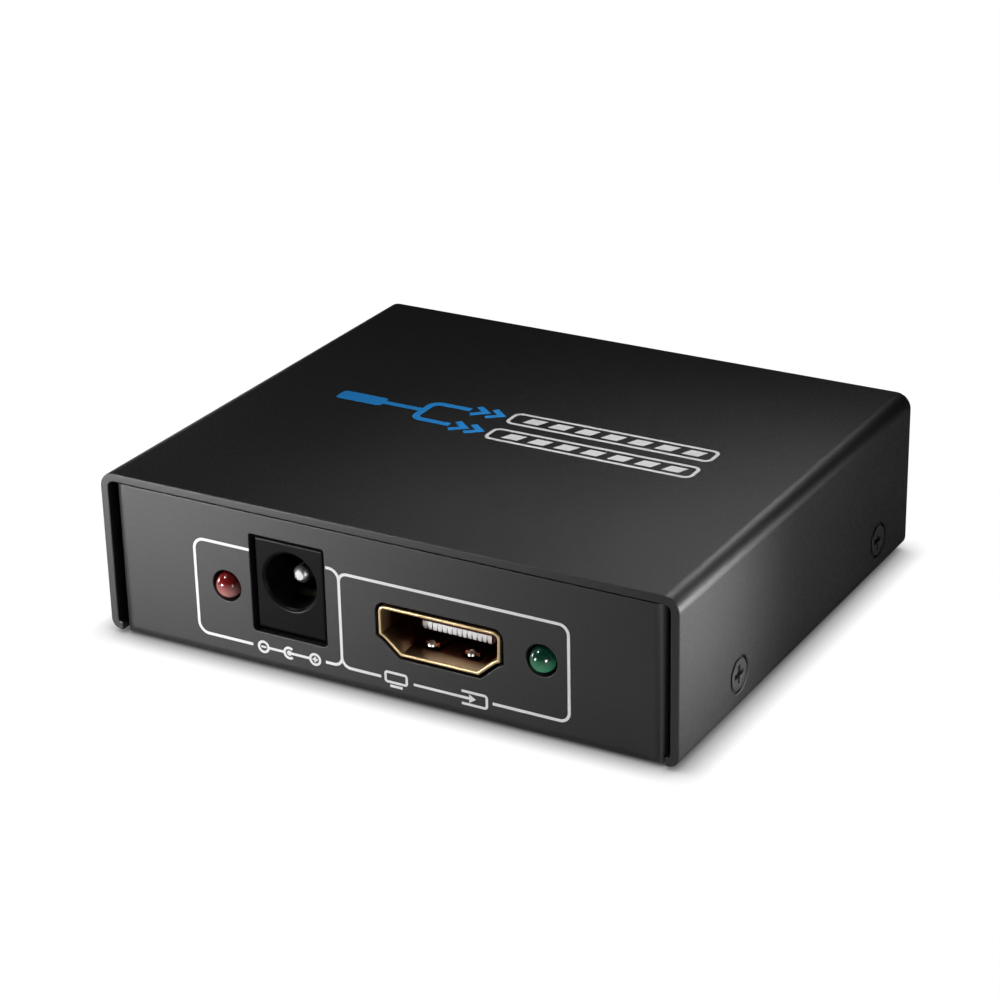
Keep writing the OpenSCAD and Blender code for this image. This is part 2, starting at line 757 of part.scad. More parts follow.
module splitter_chip() {
    color([0.08, 0.08, 0.08]) translate([main_chip_at.x - main_chip_w / 2, main_chip_at.y - main_chip_w / 2,
        board_top + chip_lift]) cube([main_chip_w, main_chip_w, main_chip_h]);
}

module splitter_chip_leads() {
    color([0.75, 0.75, 0.75]) translate([main_chip_at.x, main_chip_at.y, board_top])
        for (a = [0:90:270], i = [0:main_lead_n - 1]) rotate([0, 0, a])
            translate([(i - (main_lead_n - 1) / 2) * main_lead_pitch, main_chip_w / 2, 0])
                bent_lead(main_lead_w, chip_lift + main_chip_h / 2);
}

module memory_chips() {
    color([0.08, 0.08, 0.08]) for (p = memory_at)
        translate([p.x - memory_l / 2, p.y - memory_w / 2, board_top + chip_lift])
            cube([memory_l, memory_w, memory_h]);
}

module memory_chip_leads() {
    color([0.75, 0.75, 0.75]) for (p = memory_at, a = [0, 180], i = [0:memory_lead_n - 1])
        translate([p.x, p.y, board_top]) rotate([0, 0, a])
            translate([(i - (memory_lead_n - 1) / 2) * memory_lead_pitch, memory_w / 2, 0])
                bent_lead(memory_lead_w, chip_lift + memory_h / 2);
}

module regulators() {
    color([0.08, 0.08, 0.08]) for (p = regulator_at)
        translate([p.x - regulator_w / 2, p.y - regulator_l / 2, board_top + chip_lift])
            cube([regulator_w, regulator_l, regulator_h]);
}

// three leads on one side of each regulator and a broad tab on the other
module regulator_leads() {
    color([0.75, 0.75, 0.75]) for (p = regulator_at) {
        for (i = [-1, 0, 1]) translate([p.x + i * regulator_pitch, p.y - regulator_l / 2, board_top])
            rotate([0, 0, 180]) bent_lead(regulator_lead_w, chip_lift + regulator_h / 2);
        translate([p.x, p.y + regulator_l / 2, board_top])
            bent_lead(regulator_tab_w, chip_lift + regulator_h / 2);
    }
}

// flat shape with round ends, grown by g
module crystal_outline(g) {
    r = crystal_w / 2 + g;
    half = (crystal_l - crystal_w) / 2;
    translate([-half, -r]) square([2 * half, 2 * r]);
    for (s = [-1, 1]) translate([s * half, 0]) circle(r);
}

module crystal() {
    color([0.75, 0.75, 0.77]) translate([crystal_at.x, crystal_at.y, board_top]) union() {
        linear_extrude(crystal_h) crystal_outline(-crystal_flange);
        linear_extrude(crystal_flange_t) crystal_outline(0);
    }
}

module capacitor_cans() {
    neck_z = can_base_h + can_neck_h;
    color([0.78, 0.78, 0.8]) for (p = can_at) translate([p.x, p.y, board_top]) union() {
        translate([0, 0, can_base_h]) cylinder(r = can_r - can_neck_in, h = can_neck_h + eps);
        translate([0, 0, neck_z]) cylinder(r = can_r, h = can_h - neck_z);
    }
}

// square feet of the cans with two cut corners
module capacitor_bases() {
    half = can_base_w / 2;
    color([0.06, 0.06, 0.06]) for (p = can_at) translate([p.x, p.y, board_top]) linear_extrude(can_base_h)
        polygon([
            [-half, -half], [half - can_base_cut, -half], [half, -half + can_base_cut],
            [half, half - can_base_cut], [half - can_base_cut, half], [-half, half]
        ]);
}

// wound choke: two square plates around a round core
module power_inductor() {
    color([0.2, 0.2, 0.21]) translate([inductor_at.x, inductor_at.y, board_top]) union() {
        for (z = [0, inductor_h - inductor_foot_t]) translate([-inductor_w / 2, -inductor_w / 2, z])
            cube([inductor_w, inductor_w, inductor_foot_t]);
        cylinder(r = inductor_core_r, h = inductor_h);
    }
}

module input_diode() {
    color([0.1, 0.1, 0.1]) translate([diode_at.x, diode_at.y, board_top]) union() {
        translate([-diode_l / 2, -diode_w / 2, 0]) cube([diode_l, diode_w, diode_h]);
        for (s = [-1, 1]) translate([s * diode_l / 2 - diode_pad_l, -diode_pad_w / 2, 0])
            cube([2 * diode_pad_l, diode_pad_w, diode_h / 2]);
    }
}

// a row of small parts along X from p and a column along Y at x
module small_parts(x, p, h) {
    for (i = [0:small_row_n - 1]) {
        translate([x - small_l / 2, (i - small_row_n / 2) * small_pitch, board_top])
            cube([small_l, small_w, h]);
        translate([p.x + i * small_pitch, p.y - small_l / 2, board_top]) cube([small_w, small_l, h]);
    }
}

module chip_capacitors() {
    color([0.62, 0.5, 0.36]) small_parts(cap_column_x, cap_row_at, small_cap_h);
}

module chip_resistors() {
    color([0.1, 0.1, 0.12]) small_parts(res_column_x, res_row_at, small_res_h);
}

top_cover();
base_tray();
cover_screws();
board_spacers();
board_screws();
circuit_board();
jack_housing();
jack_centre_pin();
jack_sleeve_terminal();
jack_sleeve_spring();
at_input() socket_shell();  // input_shell
at_input() socket_insulator();  // input_insulator
at_input() socket_contacts();  // input_contacts
at_output(output_1_x) socket_shell();  // output_1_shell
at_output(output_1_x) socket_insulator();  // output_1_insulator
at_output(output_1_x) socket_contacts();  // output_1_contacts
at_output(output_2_x) socket_shell();  // output_2_shell
at_output(output_2_x) socket_insulator();  // output_2_insulator
at_output(output_2_x) socket_contacts();  // output_2_contacts
color([0.8, 0.15, 0.12]) at_lamp(0) lamp_lens();  // power_lamp
color([0.2, 0.6, 0.25]) at_lamp(1) lamp_lens();  // input_lamp
color([0.2, 0.6, 0.25]) at_lamp(2) lamp_lens();  // output_1_lamp
color([0.2, 0.6, 0.25]) at_lamp(3) lamp_lens();  // output_2_lamp
lamp_leads();
splitter_chip();
splitter_chip_leads();
memory_chips();
memory_chip_leads();
regulators();
regulator_leads();
crystal();
capacitor_cans();
capacitor_bases();
power_inductor();
input_diode();
chip_capacitors();
chip_resistors();
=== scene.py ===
"""A small black video splitter box, dressed for its picture.

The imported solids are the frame. Sheet parts, sockets, jack and screws are shown as copies with
softened edges. Printed lines and symbols, contact tips and finger pips are added, and every
piece gets its own finish.
Lengths are written in millimetres, and MM turns them into metres.
"""
import json
import math

import bmesh
import bpy
from mathutils import Matrix, Vector


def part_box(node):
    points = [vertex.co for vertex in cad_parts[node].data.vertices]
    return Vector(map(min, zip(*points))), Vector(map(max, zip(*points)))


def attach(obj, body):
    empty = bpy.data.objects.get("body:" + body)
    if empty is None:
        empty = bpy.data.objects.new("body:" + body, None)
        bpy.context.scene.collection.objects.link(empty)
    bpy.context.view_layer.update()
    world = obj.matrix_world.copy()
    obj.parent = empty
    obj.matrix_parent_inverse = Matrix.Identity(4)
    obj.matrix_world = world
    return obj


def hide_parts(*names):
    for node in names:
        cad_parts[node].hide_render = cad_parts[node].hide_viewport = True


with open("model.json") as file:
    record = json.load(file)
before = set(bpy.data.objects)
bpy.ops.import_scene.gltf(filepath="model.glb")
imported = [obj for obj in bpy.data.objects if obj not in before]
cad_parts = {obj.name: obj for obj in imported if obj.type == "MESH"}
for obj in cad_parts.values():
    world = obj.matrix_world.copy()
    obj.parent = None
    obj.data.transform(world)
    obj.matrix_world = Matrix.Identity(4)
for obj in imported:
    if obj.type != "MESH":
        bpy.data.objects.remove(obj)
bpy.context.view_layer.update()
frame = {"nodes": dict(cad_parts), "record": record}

MM = 0.001
BODY = "box"
WELD = 1e-6
FLAT_ANGLE = math.radians(0.5)
SHARP_ANGLE = math.radians(25)
SMOOTH_ANGLE = math.radians(38)


# Camera

CAMERA_AT = Vector((143.738, -253.798, 140.366)) * MM
CAMERA_RIGHT = Vector((0.87107, 0.49076, -0.01968))
CAMERA_UP = Vector((-0.18325, 0.36191, 0.91403))
CAMERA_BACK = Vector((0.45569, -0.79258, 0.40518))
CAMERA_LENS = 102.144
CAMERA_FILM = 36


def set_camera():
    data = bpy.data.cameras.new("camera")
    data.lens = CAMERA_LENS
    data.sensor_width = CAMERA_FILM
    data.clip_start = 0.01
    camera = bpy.data.objects.new("camera", data)
    turn = Matrix((CAMERA_RIGHT, CAMERA_UP, CAMERA_BACK)).transposed()
    camera.matrix_world = Matrix.Translation(CAMERA_AT) @ turn.to_4x4()
    bpy.context.scene.collection.objects.link(camera)
    bpy.context.scene.camera = camera


# Shader trees

class Tree:
    """Short calls to place and join nodes in one shader tree."""

    def __init__(self, tree):
        self.tree = tree

    def add(self, kind, inputs=None, **settings):
        node = self.tree.nodes.new("ShaderNode" + kind)
        for name, value in settings.items():
            setattr(node, name, value)
        for name, value in (inputs or {}).items():
            self.put(value, node.inputs[name])
        return node

    def put(self, value, socket):
        if isinstance(value, bpy.types.NodeSocket):
            self.tree.links.new(value, socket)
        else:
            socket.default_value = value

    def math(self, operation, a, b=0.0):
        node = self.add("Math", operation=operation)
        self.put(a, node.inputs[0])
        self.put(b, node.inputs[1])
        return node.outputs[0]

    def spread(self, value, low, high, start=0.0, end=1.0):
        node = self.add("MapRange", {"Value": value, "From Min": start, "From Max": end,
                                     "To Min": low, "To Max": high})
        return node.outputs["Result"]

    def tint(self, colour, shade):
        node = self.add("Mix", data_type="RGBA", blend_type="MULTIPLY")
        node.inputs[0].default_value = 1.0
        self.put(colour, node.inputs[6])
        self.put(shade, node.inputs[7])
        return node.outputs[2]

    def blend(self, mask, low, high):
        node = self.add("Mix", data_type="RGBA")
        self.put(mask, node.inputs[0])
        self.put(low, node.inputs[6])
        self.put(high, node.inputs[7])
        return node.outputs[2]


def new_group(name, inputs, outputs):
    group = bpy.data.node_groups.new(name, "ShaderNodeTree")
    for label, value in inputs.items():
        socket = group.interface.new_socket(label, in_out="INPUT", socket_type="NodeSocketFloat")
        socket.default_value = value
    for label in outputs:
        group.interface.new_socket(label, in_out="OUTPUT", socket_type="NodeSocketFloat")
    tree = Tree(group)
    given = group.nodes.new("NodeGroupInput").outputs
    result = group.nodes.new("NodeGroupOutput").inputs
    return group, tree, given, result


def make_fine_grain():
    """Small grains all over a surface: a shade near 1 and a height from 0 to 1."""
    group, tree, given, result = new_group(
        "fine_grain", {"Grains Per Metre": 5000.0, "Contrast": 0.1}, ("Shade", "Height"))
    place = tree.add("TexCoord").outputs["Object"]
    grain = tree.add("TexNoise", {"Vector": place, "Scale": given["Grains Per Metre"],
                                  "Detail": 2.0, "Roughness": 0.6})
    offset = tree.math("SUBTRACT", grain.outputs["Fac"], 0.5)
    swing = tree.math("MULTIPLY", offset, given["Contrast"])
    tree.put(tree.math("ADD", swing, 1.0), result["Shade"])
    tree.put(grain.outputs["Fac"], result["Height"])
    return group


def make_slow_patches():
    """Broad soft patches between two values, for gloss that changes over a surface."""
    group, tree, given, result = new_group(
        "slow_patches", {"Patches Per Metre": 90.0, "Low": 0.4, "High": 0.5}, ("Value",))
    place = tree.add("TexCoord").outputs["Object"]
    patch = tree.add("TexNoise", {"Vector": place, "Scale": given["Patches Per Metre"],
                                  "Detail": 3.0, "Roughness": 0.55})
    spread = tree.spread(patch.outputs["Fac"], given["Low"], given["High"], 0.3, 0.7)
    tree.put(spread, result["Value"])
    return group


def make_drawn_marks():
    """Thin marks left along the drawing direction of sheet metal."""
    group, tree, given, result = new_group(
        "drawn_marks", {"Marks Per Metre": 3000.0, "Stretch": 0.06}, ("Mark",))
    place = tree.add("TexCoord").outputs["Object"]
    squeeze = tree.add("CombineXYZ", {"X": 1.0, "Y": given["Stretch"], "Z": 1.0})
    pulled = tree.add("VectorMath", operation="MULTIPLY")
    tree.put(place, pulled.inputs[0])
    tree.put(squeeze.outputs[0], pulled.inputs[1])
    marks = tree.add("TexNoise", {"Vector": pulled.outputs[0], "Scale": given["Marks Per Metre"],
                                  "Detail": 3.0, "Roughness": 0.7})
    tree.put(marks.outputs["Fac"], result["Mark"])
    return group


def make_painted_lens_light():
    """Painted light on a lamp's lens: 1 at its lower rim, which is painted lighter, and 0 at its upper rim."""
    group, tree, given, result = new_group("painted_lens_light", {"Bottom": 0.0078, "Top": 0.0096}, ("Value",))
    place = tree.add("TexCoord").outputs["Object"]
    height = tree.add("SeparateXYZ", {"Vector": place}).outputs["Z"]
    tree.put(tree.spread(height, 1.0, 0.0, given["Bottom"], given["Top"]), result["Value"])
    return group


FINE_GRAIN = make_fine_grain()
SLOW_PATCHES = make_slow_patches()
DRAWN_MARKS = make_drawn_marks()
PAINTED_LENS_LIGHT = make_painted_lens_light()


def use_group(tree, group, **inputs):
    node = tree.add("Group", node_tree=group)
    for name, value in inputs.items():
        tree.put(value, node.inputs[name.replace("_", " ").title()])
    return node.outputs


def new_material(name, **constants):
    """A material with one Principled shader, its constant sockets set."""
    material = bpy.data.materials.new(name)
    material.use_nodes = True
    material.node_tree.nodes.clear()
    tree = Tree(material.node_tree)
    shader = tree.add("BsdfPrincipled")
    for label, value in constants.items():
        shader.inputs[label.replace("_", " ")].default_value = value
    end = tree.add("OutputMaterial")
    tree.put(shader.outputs[0], end.inputs["Surface"])
    return material, tree, shader.inputs


def grey(value):
    return (value, value, value, 1.0)


def grained(name, colour, gloss, shine, grains, contrast, depth, patches):
    """A grained skin: paint, moulded plastic or fired ceramic."""
    material, tree, shader = new_material(name, **{"Specular_IOR_Level": shine})
    grain = use_group(tree, FINE_GRAIN, grains_per_metre=grains, contrast=contrast)
    patch = use_group(tree, SLOW_PATCHES, patches_per_metre=patches, low=gloss[0], high=gloss[1])
    tree.put(tree.tint(colour, grain["Shade"]), shader["Base Color"])
    tree.put(tree.math("MULTIPLY", patch["Value"], grain["Shade"]), shader["Roughness"])
    bump = tree.add("Bump", {"Strength": 1.0, "Distance": depth * MM, "Height": grain["Height"]})
    tree.put(bump.outputs[0], shader["Normal"])
    return material


def satin_coat(name, colour):
    """Stoved black coating with a fine grain."""
    return grained(name, colour, (0.485, 0.515), 0.75, 4300.0, 0.9, 0.0055, 70.0)


def moulded(name, colour, gloss, shine=0.5):
    return grained(name, colour, gloss, shine, 4000.0, 0.3, 0.002, 160.0)


def plated(name, colour, gloss, marks=3000.0, stretch=0.06, depth=0.0006, recess_shade=None):
    """Bare or plated metal with drawing marks in its gloss and, if given, a painted shade that darkens it deeper in a
    socket.
    """
    material, tree, shader = new_material(name, Metallic=1.0)
    mark = use_group(tree, DRAWN_MARKS, marks_per_metre=marks, stretch=stretch)["Mark"]
    patch = use_group(tree, SLOW_PATCHES, patches_per_metre=200.0, low=0.9, high=1.06)
    # Painted shade: the colour turns to the given dark one from the socket's mouth going in.
    if recess_shade:
        place = tree.add("TexCoord").outputs["Object"]
        way_in = tree.math("ABSOLUTE", tree.add("SeparateXYZ", {"Vector": place}).outputs["Y"])
        colour = tree.blend(tree.spread(way_in, 1.0, 0.0, 27.6 * MM, 29.7 * MM), colour, recess_shade)
    tree.put(tree.tint(colour, patch["Value"]), shader["Base Color"])
    tree.put(tree.spread(mark, gloss[0], gloss[1], 0.25, 0.75), shader["Roughness"])
    bump = tree.add("Bump", {"Strength": 1.0, "Distance": depth * MM, "Height": mark})
    tree.put(bump.outputs[0], shader["Normal"])
    return material


def tinted_lens(name, deep, lower_glow_colour):
    """Tinted lamp resin: its deep colour above, and painted light toward the lower rim, lightened unevenly in soft
    patches.
    """
    material, tree, shader = new_material(name, **{
        "IOR": 1.5, "Transmission_Weight": 0.15, "Coat_Weight": 1.0, "Coat_Roughness": 0.08})
    lower_glow_mask = use_group(tree, PAINTED_LENS_LIGHT)["Value"]
    glow_patches = use_group(tree, SLOW_PATCHES, patches_per_metre=900.0, low=0.8, high=1.0)["Value"]
    tree.put(tree.blend(tree.math("MULTIPLY", lower_glow_mask, glow_patches), deep, lower_glow_colour), shader["Base Color"])
    gloss = use_group(tree, SLOW_PATCHES, patches_per_metre=500.0, low=0.15, high=0.22)
    tree.put(gloss["Value"], shader["Roughness"])
    return material


def ink(name, colour):
    """Screen-printed ink with a slightly uneven film."""
    material, tree, shader = new_material(name, **{"Specular_IOR_Level": 0.3})
    grain = use_group(tree, FINE_GRAIN, grains_per_metre=6000.0, contrast=0.12)
    patch = use_group(tree, SLOW_PATCHES, patches_per_metre=300.0, low=0.45, high=0.6)
    tree.put(tree.tint(colour, grain["Shade"]), shader["Base Color"])
    tree.put(patch["Value"], shader["Roughness"])
    return material


def board_mask(name, colour, track):
    """Green solder mask over copper tracks that run as fine lines under it."""
    material, tree, shader = new_material(name, **{"Specular_IOR_Level": 0.5})
    place = tree.add("TexCoord").outputs["Object"]
    tracks = tree.add("TexBrick", {"Vector": place, "Scale": 260.0, "Mortar Size": 0.06,
                                   "Color1": grey(0.0), "Color2": grey(0.15), "Mortar": grey(1.0)})
    patch = use_group(tree, SLOW_PATCHES, patches_per_metre=120.0, low=0.25, high=0.4)
    tree.put(tree.blend(tracks.outputs["Color"], colour, track), shader["Base Color"])
    tree.put(patch["Value"], shader["Roughness"])
    bump = tree.add("Bump", {"Strength": 1.0, "Distance": 0.01 * MM, "Height": tracks.outputs["Fac"]})
    tree.put(bump.outputs[0], shader["Normal"])
    return material


FINISHES = {
    "cover_paint": satin_coat("cover_paint", grey(0.0048)),
    "base_paint": satin_coat("base_paint", grey(0.0048)),
    "black_screw": plated("black_screw", grey(0.12), (0.42, 0.52)),
    "spacer_brass": plated("spacer_brass", (0.72, 0.52, 0.24, 1.0), (0.25, 0.4)),
    "zinc_steel": plated("zinc_steel", grey(0.6), (0.3, 0.45)),
    # The mask and tracks are darkened nearly to black: painted shade for the inside of the closed box.
    "board_laminate": board_mask("board_laminate", (0.005, 0.03, 0.014, 1.0), (0.01, 0.06, 0.026, 1.0)),
    "black_plastic": moulded("black_plastic", grey(0.005), (0.32, 0.38), 0.12),
    "plated_pin": plated("plated_pin", grey(0.85), (0.32, 0.36), 2000.0, 1.0, 0.0002),
    # The spring's dark colour is painted shade for the jack's bore, darker than its bare metal.
    "spring_metal": plated("spring_metal", (0.16, 0.14, 0.1, 1.0), (0.4, 0.5)),
    # The gilt shell's dark second colour is painted shade, set by depth from the socket's mouth.
    "gilt_shell": plated("gilt_shell", (0.9, 0.67, 0.38, 1.0), (0.32, 0.4), recess_shade=(0.22, 0.065, 0.025, 1.0)),
    # The tongue's dark red is a painted reflection of the gilt walls on black plastic.
    "socket_plastic": moulded("socket_plastic", (0.06, 0.007, 0.006, 1.0), (0.35, 0.5)),
    "contact_metal": plated("contact_metal", (0.82, 0.78, 0.7, 1.0), (0.3, 0.4)),
    # The second colour of each lens is painted light, laid on its lower half by height.
    "red_lens": tinted_lens("red_lens", (0.17, 0.006, 0.006, 1.0), (0.72, 0.3, 0.27, 1.0)),
    "green_lens": tinted_lens("green_lens", (0.002, 0.05, 0.028, 1.0), (0.06, 0.42, 0.2, 1.0)),
    "tinned_wire": plated("tinned_wire", grey(0.62), (0.3, 0.45)),
    "chip_plastic": moulded("chip_plastic", grey(0.02), (0.5, 0.65)),
    "plated_can": plated("plated_can", grey(0.62), (0.25, 0.38)),
    "can_aluminium": plated("can_aluminium", grey(0.72), (0.3, 0.42)),
    "ferrite": moulded("ferrite", grey(0.08), (0.5, 0.7)),
    "ceramic_tan": moulded("ceramic_tan", (0.42, 0.3, 0.17, 1.0), (0.35, 0.5)),
    "ceramic_black": moulded("ceramic_black", grey(0.03), (0.3, 0.45)),
}
TIP_TIN = plated("tip_tin", grey(0.92), (0.5, 0.6))
WHITE_INK = ink("white_ink", grey(0.78))
BLUE_INK = ink("blue_ink", (0.02, 0.28, 0.74, 1.0))

for row in frame["record"]["subparts"]:
    materials = frame["nodes"][row["node"]].data.materials
    materials.clear()
    materials.append(FINISHES[row["material_slot"]])


# Pieces

def smooth(mesh):
    mesh.polygons.foreach_set("use_smooth", [True] * len(mesh.polygons))
    mesh.set_sharp_from_angle(angle=SMOOTH_ANGLE)


def take_mesh(bm, name):
    """A mesh from finished faces, turned to face outwards."""
    bmesh.ops.recalc_face_normals(bm, faces=bm.faces)
    mesh = bpy.data.meshes.new(name)
    bm.to_mesh(mesh)
    bm.free()
    return mesh


def join_rings(bm, rings):
    """Faces between each ring of corners and the next."""
    for a, b in zip(rings, rings[1:]):
        for k in range(len(a)):
            n = (k + 1) % len(a)
            bm.faces.new((a[k], a[n], b[n], b[k]))


def circle(r, sides):
    turns = [2 * math.pi * k / sides for k in range(sides)]
    return [(r * math.cos(t), r * math.sin(t)) for t in turns]


def place_piece(name, mesh, material, body=BODY):
    mesh.materials.append(material)
    piece = bpy.data.objects.new(name, mesh)
    bpy.context.scene.collection.objects.link(piece)
    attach(piece, body)
    return piece


def soften(node, name, slot, picks):
    """A copy of a node with chosen outer edges rounded: picks are (test of an edge's middle, radius)."""
    bm = bmesh.new()
    bm.from_mesh(frame["nodes"][node].data)
    bmesh.ops.remove_doubles(bm, verts=bm.verts, dist=WELD)
    bmesh.ops.dissolve_limit(bm, angle_limit=FLAT_ANGLE, verts=bm.verts, edges=bm.edges)
    for test, radius in picks:
        edges = [e for e in bm.edges if e.is_convex and e.calc_face_angle(0.0) > SHARP_ANGLE
                 and all(test(v.co / MM) for v in e.verts)]
        bmesh.ops.bevel(bm, geom=edges, offset=radius * MM, offset_type="OFFSET", segments=3,
                        profile=0.5, affect="EDGES", clamp_overlap=False)
    bmesh.ops.remove_doubles(bm, verts=bm.verts, dist=WELD)
    bm.verts.index_update()
    mesh = bpy.data.meshes.new(name)
    mesh.from_pydata([v.co.copy() for v in bm.verts], [], [[v.index for v in f.verts] for f in bm.faces])
    bm.free()
    smooth(mesh)
    piece = place_piece(name, mesh, FINISHES[slot])
    piece.modifiers.new("flat_faces", "WEIGHTED_NORMAL").keep_sharp = True
    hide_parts(node)
    return piece


NEAR = 0.004
COVER_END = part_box("top_cover")[1].y / MM
PANEL_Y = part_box("base_tray")[1].y / MM
ROOF_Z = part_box("top_cover")[1].z / MM
PORT_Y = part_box("output_1_shell")[1].y / MM
JACK_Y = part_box("jack_housing")[0].y / MM
SCREW_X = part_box("cover_screws")[1].x / MM
PORTS = ("input", "output_1", "output_2")


def at_y(y):
    return lambda p: abs(abs(p.y) - y) < NEAR


soften("top_cover", "cover_sheet", "cover_paint", [(at_y(COVER_END), 0.14)])
soften("base_tray", "base_sheet", "base_paint", [(at_y(PANEL_Y), 0.12)])
soften("jack_housing", "jack_body", "black_plastic", [(lambda p: p.y < JACK_Y + 0.4, 0.12)])
for port in PORTS:
    soften(port + "_shell", port + "_mouth", "gilt_shell", [(at_y(PORT_Y), 0.13)])
soften("cover_screws", "side_screws", "black_screw", [(lambda p: abs(abs(p.x) - SCREW_X) < NEAR, 0.1)])


# Small metal details in the video sockets

TIP_PITCH = 0.6
TIP_COUNT = 14
TIP_T = 0.09
# depth behind the tongue's front, height, half width along one bent contact tip
TIP_PATH = ((0.7, 7.28, 0.17), (0.05, 7.28, 0.17), (-0.06, 7.36, 0.19), (-0.09, 7.62, 0.25), (-0.09, 8.2, 0.28))
PIP_OFF = 2.4
PIP_R = 0.52
PIP_H = 0.5
PIP_SIDES = 18
PIP_RINGS = 5
PIP_SHIFT = 0.15
PIP_SINK = 0.26


def port_place(port):
    """Middle, way in (+1 from the front, -1 from the rear) and tongue front of a socket."""
    low, high = (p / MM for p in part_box(port + "_shell"))
    tongue = [p.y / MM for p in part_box(port + "_insulator")]
    way = 1 if low.y < 0 else -1
    return (low.x + high.x) / 2, way, tongue[0] if way > 0 else tongue[1]


def contact_tips(port):
    """The contacts' tips, bent up over the front of the tongue."""
    middle, way, front = port_place(port)
    bm = bmesh.new()
    for i in range(TIP_COUNT):
        x = middle + (i - (TIP_COUNT - 1) / 2) * TIP_PITCH
        rings = []
        for k, (deep, z, half) in enumerate(TIP_PATH):
            before, after = TIP_PATH[max(k - 1, 0)], TIP_PATH[min(k + 1, len(TIP_PATH) - 1)]
            along = Vector((after[0] - before[0], after[1] - before[1])).normalized()
            out = Vector((-along.y, along.x)) * TIP_T
            corners = [(x + s * half, front + way * (deep + o * out.x), z + o * out.y)
                       for s, o in ((-1, 0), (1, 0), (1, 1), (-1, 1))]
            rings.append([bm.verts.new(Vector(c) * MM) for c in corners])
        join_rings(bm, rings)
        bm.faces.new(rings[0])
        bm.faces.new(rings[-1])
    mesh = take_mesh(bm, port + "_contact_tips")
    smooth(mesh)
    place_piece(port + "_contact_tips", mesh, TIP_TIN)


def finger_pips(port):
    """Round embossed pips on the spring fingers in the socket's floor."""
    middle, way, _ = port_place(port)
    corners = [v.co / MM for v in frame["nodes"][port + "_shell"].data.vertices]
    bm = bmesh.new()
    for side in (-1, 1):
        x = middle + side * PIP_OFF
        finger = [c for c in corners if abs(c.x - x) < 0.9 and 5.9 < c.z < 7.3 and 1 < PORT_Y + c.y * way < 5]
        end = max(finger, key=lambda c: c.z)
        foot = Vector((x, end.y - PIP_SHIFT * way, end.z - PIP_SINK))
        rings = []
        for k in range(PIP_RINGS):
            tilt = math.pi / 2 * k / PIP_RINGS
            rise = PIP_H * math.sin(tilt)
            rings.append([bm.verts.new((foot + Vector((a, b, rise))) * MM)
                          for a, b in circle(PIP_R * math.cos(tilt), PIP_SIDES)])
        join_rings(bm, rings)
        bm.faces.new(rings[0])
        peak = bm.verts.new((foot + Vector((0, 0, PIP_H))) * MM)
        for k in range(PIP_SIDES):
            bm.faces.new((rings[-1][k], rings[-1][(k + 1) % PIP_SIDES], peak))
    mesh = take_mesh(bm, port + "_finger_pips")
    smooth(mesh)
    place_piece(port + "_finger_pips", mesh, FINISHES["contact_metal"])


for port in PORTS:
    contact_tips(port)
    finger_pips(port)


# Printing

INK = 0.022
INK_STEP = 0.0006
INK_SINK = 0.03
LINE = 0.33
SIGN_LINE = 0.29


def corner_path(points, steps=8):
    """A line through (u, v, r) points, with each corner rounded by its r."""
    path = []
    for i, (u, v, r) in enumerate(points):
        here = Vector((u, v))
        if r <= 0 or i in (0, len(points) - 1):
            path.append(here)
            continue
        back = (Vector(points[i - 1][:2]) - here).normalized()
        ahead = (Vector(points[i + 1][:2]) - here).normalized()
        half = back.angle(ahead) / 2
        reach = r / math.tan(half)
        middle = here + (back + ahead).normalized() * (r / math.sin(half))
        start = here + back * reach - middle
        end = here + ahead * reach - middle
        turn = start.angle_signed(end)
        for k in range(steps + 1):
            path.append(middle + Matrix.Rotation(-turn * k / steps, 2) @ start)
    return path


def arc_path(u, v, r, start, end, steps=28):
    angles = [math.radians(start + (end - start) * k / steps) for k in range(steps + 1)]
    return [Vector((u + r * math.cos(a), v + r * math.sin(a))) for a in angles]


def box_path(u0, v0, u1, v1, r):
    """A closed outline with rounded corners."""
    middle = (u0 + u1) / 2
    return corner_path([(middle, v1, 0), (u0, v1, r), (u0, v0, r), (u1, v0, r), (u1, v1, r), (middle, v1, 0)], 6)[:-1]


